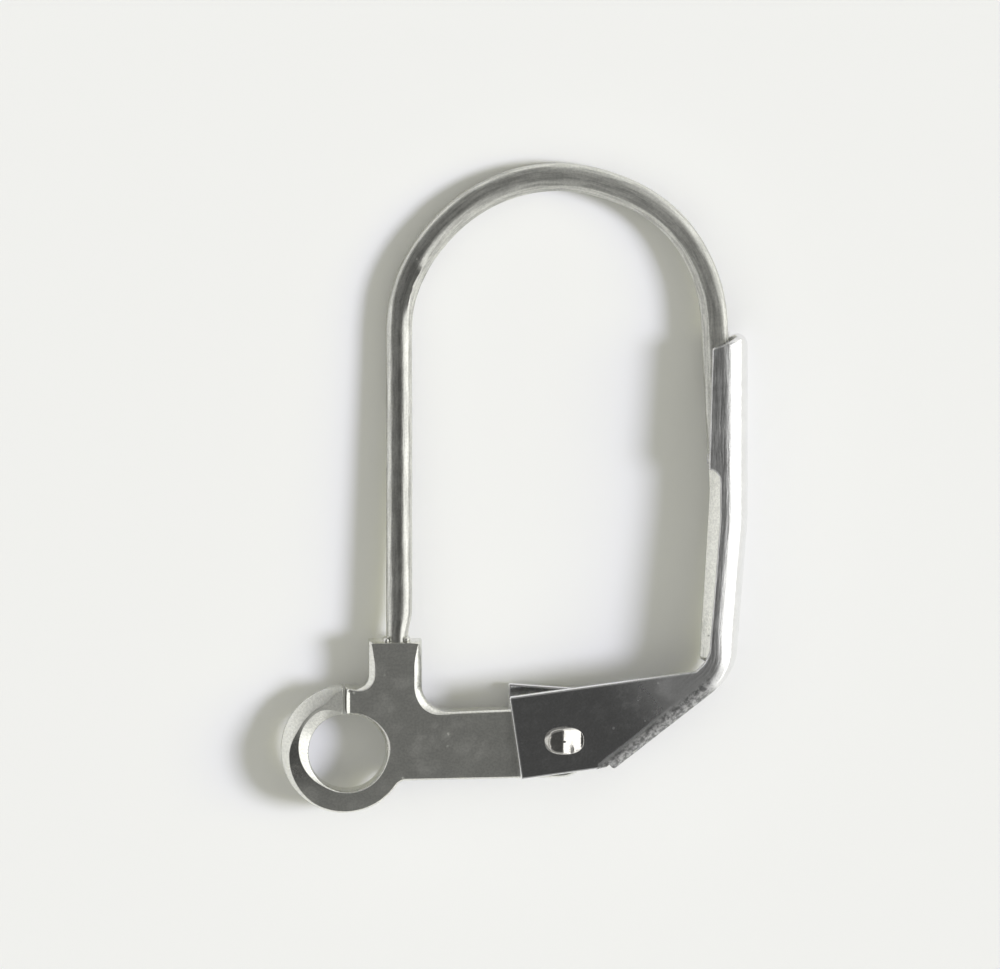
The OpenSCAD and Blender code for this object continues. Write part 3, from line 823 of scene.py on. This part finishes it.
class Plating:
    """Worn silver-coloured plating. Its roughness and its streaks along the metal come from the mesh."""

    def __init__(self, name, tint, streak_bump, streak_tone, grain, specks):
        self.tint = tint
        self.material = bpy.data.materials.new(name)
        self.material.use_nodes = True
        n = self.n = Nodes(self.material.node_tree)
        out = n.node("ShaderNodeOutputMaterial")
        shader = self.shader = n.node("ShaderNodeBsdfPrincipled")
        n.feed(out.inputs["Surface"], shader.outputs[0])
        shader.inputs["Metallic"].default_value = 1.0
        self.where = n.node("ShaderNodeAttribute", attribute_name="grain").outputs["Vector"]
        self.rough = n.node("ShaderNodeAttribute", attribute_name="rough").outputs["Fac"]
        streaky = n.node("ShaderNodeAttribute", attribute_name="streaky").outputs["Fac"]
        drawn = n.node("ShaderNodeMapping")
        n.feed(drawn.inputs["Vector"], self.where)
        drawn.inputs["Scale"].default_value = (0.08, 1.0, 1.0)
        streak = n.noise(drawn.outputs[0], 14, 4.0, 0.6)
        blot = n.noise(self.where, 3.5, 3.0)
        fine = n.noise(self.where, 17, 3.0, 0.65)
        cells = n.node("ShaderNodeTexVoronoi")
        n.feed(cells.inputs["Vector"], self.where)
        cells.inputs["Scale"].default_value = 2.6
        picked = n.node("ShaderNodeSeparateXYZ")
        n.feed(picked.inputs[0], cells.outputs["Color"])
        pit = n.ramp(cells.outputs["Distance"], 0.04, 0.12, 1.0, 0.0)
        speck = n.math("MULTIPLY", pit, n.ramp(picked.outputs[0], 0.6, 0.7, 0.0, specks))
        dark = n.math("MULTIPLY", n.math("MULTIPLY", streaky, streak_tone), n.ramp(streak, 0.6, 0.38))
        kept = n.math("SUBTRACT", 1.0, dark)
        self.tone = n.math("MULTIPLY", n.ramp(fine, 0.35, 0.65, 1 - grain, 1.0), kept)
        self.tone = n.math("MULTIPLY", self.tone, n.ramp(blot, 0.35, 0.65, 0.96, 1.0))
        uneven = n.math("MULTIPLY_ADD", fine, 0.05, self.rough)
        smudged = n.math("MULTIPLY_ADD", n.ramp(blot, 0.45, 0.75), 0.05, uneven)
        self.roughness = n.math("MULTIPLY_ADD", speck, 0.3, smudged)
        height = n.math("MULTIPLY", streak, n.math("MULTIPLY", streaky, streak_bump))
        height = n.math("MULTIPLY_ADD", fine, grain, height)
        height = n.math("MULTIPLY_ADD", blot, 0.8, height)
        self.height = n.math("MULTIPLY_ADD", speck, -0.8, height)

    def scuff(self, low, high):
        """Dents the roughest metal and dulls it in patches that keep low to high of its brightness."""
        n = self.n
        lumps = n.noise(self.where, 8, 4.0, 0.7)
        full = n.ramp(self.rough, 0.3, 0.55)
        lost = n.math("MULTIPLY", full, n.math("SUBTRACT", 1.0, n.ramp(lumps, 0.4, 0.62, low, high)))
        self.tone = n.math("MULTIPLY", self.tone, n.math("SUBTRACT", 1.0, lost))
        self.height = n.math("MULTIPLY_ADD", n.math("MULTIPLY", full, lumps), 4.0, self.height)

    def finish(self):
        n = self.n
        n.feed(self.shader.inputs["Roughness"], self.roughness)
        bump = n.node("ShaderNodeBump")
        bump.inputs["Strength"].default_value = 1.0
        bump.inputs["Distance"].default_value = BUMP_M
        n.feed(bump.inputs["Height"], self.height)
        n.feed(self.shader.inputs["Normal"], bump.outputs[0])
        colour = n.node("ShaderNodeMix", data_type="RGBA")
        n.feed(colour.inputs["Factor"], self.tone)
        colour.inputs[6].default_value = (0.0, 0.0, 0.0, 1.0)
        colour.inputs[7].default_value = (*self.tint, 1.0)
        n.feed(self.shader.inputs["Base Color"], colour.outputs[2])
        return self.material


# Tint, bump and tone of the streaks, grain, specks
wire_plating = Plating("ear_wire", (0.87, 0.87, 0.82), 1.3, 0.28, 0.14, 1.0)
lever_plating = Plating("lever", (0.96, 0.96, 0.96), 3.2, 0.35, 0.08, 0.6)
lever_plating.scuff(0.3, 0.72)
rivet_plating = Plating("hinge_rivet", (0.94, 0.92, 0.88), 0.0, 0.0, 0.1, 0.0)
wire_metal = wire_plating.finish()
lever_metal = lever_plating.finish()
rivet_metal = rivet_plating.finish()

build = Mesh()
wire(build)
foot_plate(build)
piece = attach(build.make("ear_wire_looks", wire_metal), "ear_wire")
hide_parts("ear_wire")

build = Mesh()
lever(build)
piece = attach(build.make("lever_looks", lever_metal), "lever")
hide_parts("lever")

build = Mesh()
rivet(build)
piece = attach(build.make("hinge_rivet_looks", rivet_metal), "lever")
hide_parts("hinge_rivet")

# Surface, light and camera

FLOOR_HALF = 2
floor_mesh = bpy.data.meshes.new("floor")
corners = [(x * FLOOR_HALF, y * FLOOR_HALF, 0) for x, y in ((-1, -1), (1, -1), (1, 1), (-1, 1))]
floor_mesh.from_pydata(corners, [], [(0, 1, 2, 3)])
floor = bpy.data.objects.new("floor", floor_mesh)
bpy.context.scene.collection.objects.link(floor)
paper = bpy.data.materials.new("paper")
paper.use_nodes = True
paper_nodes = Nodes(paper.node_tree)
paper_out = paper_nodes.node("ShaderNodeOutputMaterial")
paper_shader = paper_nodes.node("ShaderNodeBsdfPrincipled")
paper_shader.inputs["Base Color"].default_value = (0.86, 0.86, 0.87, 1.0)
paper_shader.inputs["Roughness"].default_value = 1.0
paper_shader.inputs["Specular IOR Level"].default_value = 0.0
paper_nodes.feed(paper_out.inputs["Surface"], paper_shader.outputs[0])
floor_mesh.materials.append(paper)

# The picture is 1000 by 969 pixels, with 41 pixels a millimetre across and 40.5 up, as the view is slanted.
# The earring's own origin lies this many pixels right of the picture's left edge and below its top.
PICTURE_W, PICTURE_H = 1000, 969
PX_ACROSS, PX_UP = 41.0, 40.5
ORIGIN_ACROSS, ORIGIN_DOWN = 563, 737.1
DISTANCE, SENSOR_W = 600.0, 36.0
aim = (TURN @ Vector((-0.0524, 0.1407, 1.0))).normalized()
normal = TURN @ Vector((0, 0, 1))
mirrored = 2 * normal.dot(aim) * normal - aim

# Only reflections see the room: a bright window wall on the right that fades to both sides, a dim room with a
# lighter horizon elsewhere and the dark shape of whoever looks on, above the earring. The lamps light the
# surface.
world = bpy.data.worlds.new("studio")
bpy.context.scene.world = world
world.use_nodes = True
world.cycles_visibility.diffuse = False
w = Nodes(world.node_tree)
direction = w.node("ShaderNodeTexCoord").outputs["Generated"]
parts = w.node("ShaderNodeSeparateXYZ")
w.feed(parts.inputs[0], direction)
x, y, z = parts.outputs
level = w.math("SQRT", w.math("ADD", w.math("MULTIPLY", x, x), w.math("MULTIPLY_ADD", y, y, 1e-4)))
across = w.math("DIVIDE", x, level)
sideways = w.math("ADD", w.ramp(across, 0.15, 0.45, 0.0, 0.5), w.ramp(across, 0.75, 0.95, 0.0, 0.75))
panel = w.math("MULTIPLY", sideways, w.ramp(z, 0.78, 0.86, 1.0, 0.0))
near = w.ramp(w.math("MULTIPLY", y, -1.0), 0.12, 0.5, 0.0, 0.14)
far = w.ramp(y, 0.12, 0.5, 0.0, 0.07)
ends = w.math("MULTIPLY_ADD", w.math("MULTIPLY", across, across), 0.65, 0.35)
horizon = w.math("MULTIPLY_ADD", w.ramp(z, 0.1, 0.3, 0.85, 0.0), ends, 0.15)
room = w.math("ADD", w.math("ADD", near, far), horizon)
facing = w.node("ShaderNodeVectorMath", operation="DOT_PRODUCT")
w.feed(facing.inputs[0], direction)
facing.inputs[1].default_value = mirrored
onlooker = w.ramp(facing.outputs["Value"], 0.95, 0.985, 1.0, 0.4)
strength = w.math("MULTIPLY_ADD", panel, 0.95, w.math("MULTIPLY", room, onlooker))
background = w.node("ShaderNodeBackground")
background.inputs["Color"].default_value = (1.0, 1.0, 0.98, 1.0)
w.feed(background.inputs["Strength"], strength)
w.feed(w.node("ShaderNodeOutputWorld").inputs["Surface"], background.outputs[0])


def lamp(name, elevation, angle, energy, colour):
    """Distant lamp that many degrees above the surface, counted from the right."""
    data = bpy.data.lights.new(name, "SUN")
    data.energy = energy
    data.angle = math.radians(angle)
    data.color = colour
    light = bpy.data.objects.new(name, data)
    light.rotation_euler = (0, math.radians(90 - elevation), 0)
    light.visible_glossy = False
    bpy.context.scene.collection.objects.link(light)


lamp("window", 40, 17, 1.95, (0.97, 0.98, 1.24))
lamp("window_edge", 30, 28, 0.8, (1.1, 1.08, 0.4))
lamp("ceiling", 90, 130, 1.35, (1.0, 1.0, 0.88))
lamp("wall_on_the_left", 138, 60, 0.3, (1.0, 1.0, 0.88))

target = place(((PICTURE_W / 2 - ORIGIN_ACROSS) / PX_ACROSS, (ORIGIN_DOWN - PICTURE_H / 2) / PX_UP, 0))
cam_data = bpy.data.cameras.new("camera")
cam_data.sensor_width = SENSOR_W
cam_data.lens = SENSOR_W * DISTANCE / (PICTURE_W / PX_ACROSS)
cam_data.clip_start = 0.05
cam = bpy.data.objects.new("camera", cam_data)
cam.location = target + aim * DISTANCE * MM
up = TURN @ Vector((0, 1, 0))
up = (up - aim * up.dot(aim)).normalized()
side = up.cross(aim)
cam.matrix_world = Matrix.LocRotScale(cam.location, Matrix((side, up, aim)).transposed(), None)
bpy.context.scene.collection.objects.link(cam)
bpy.context.scene.camera = cam
bpy.context.scene.view_settings.view_transform = "Standard"
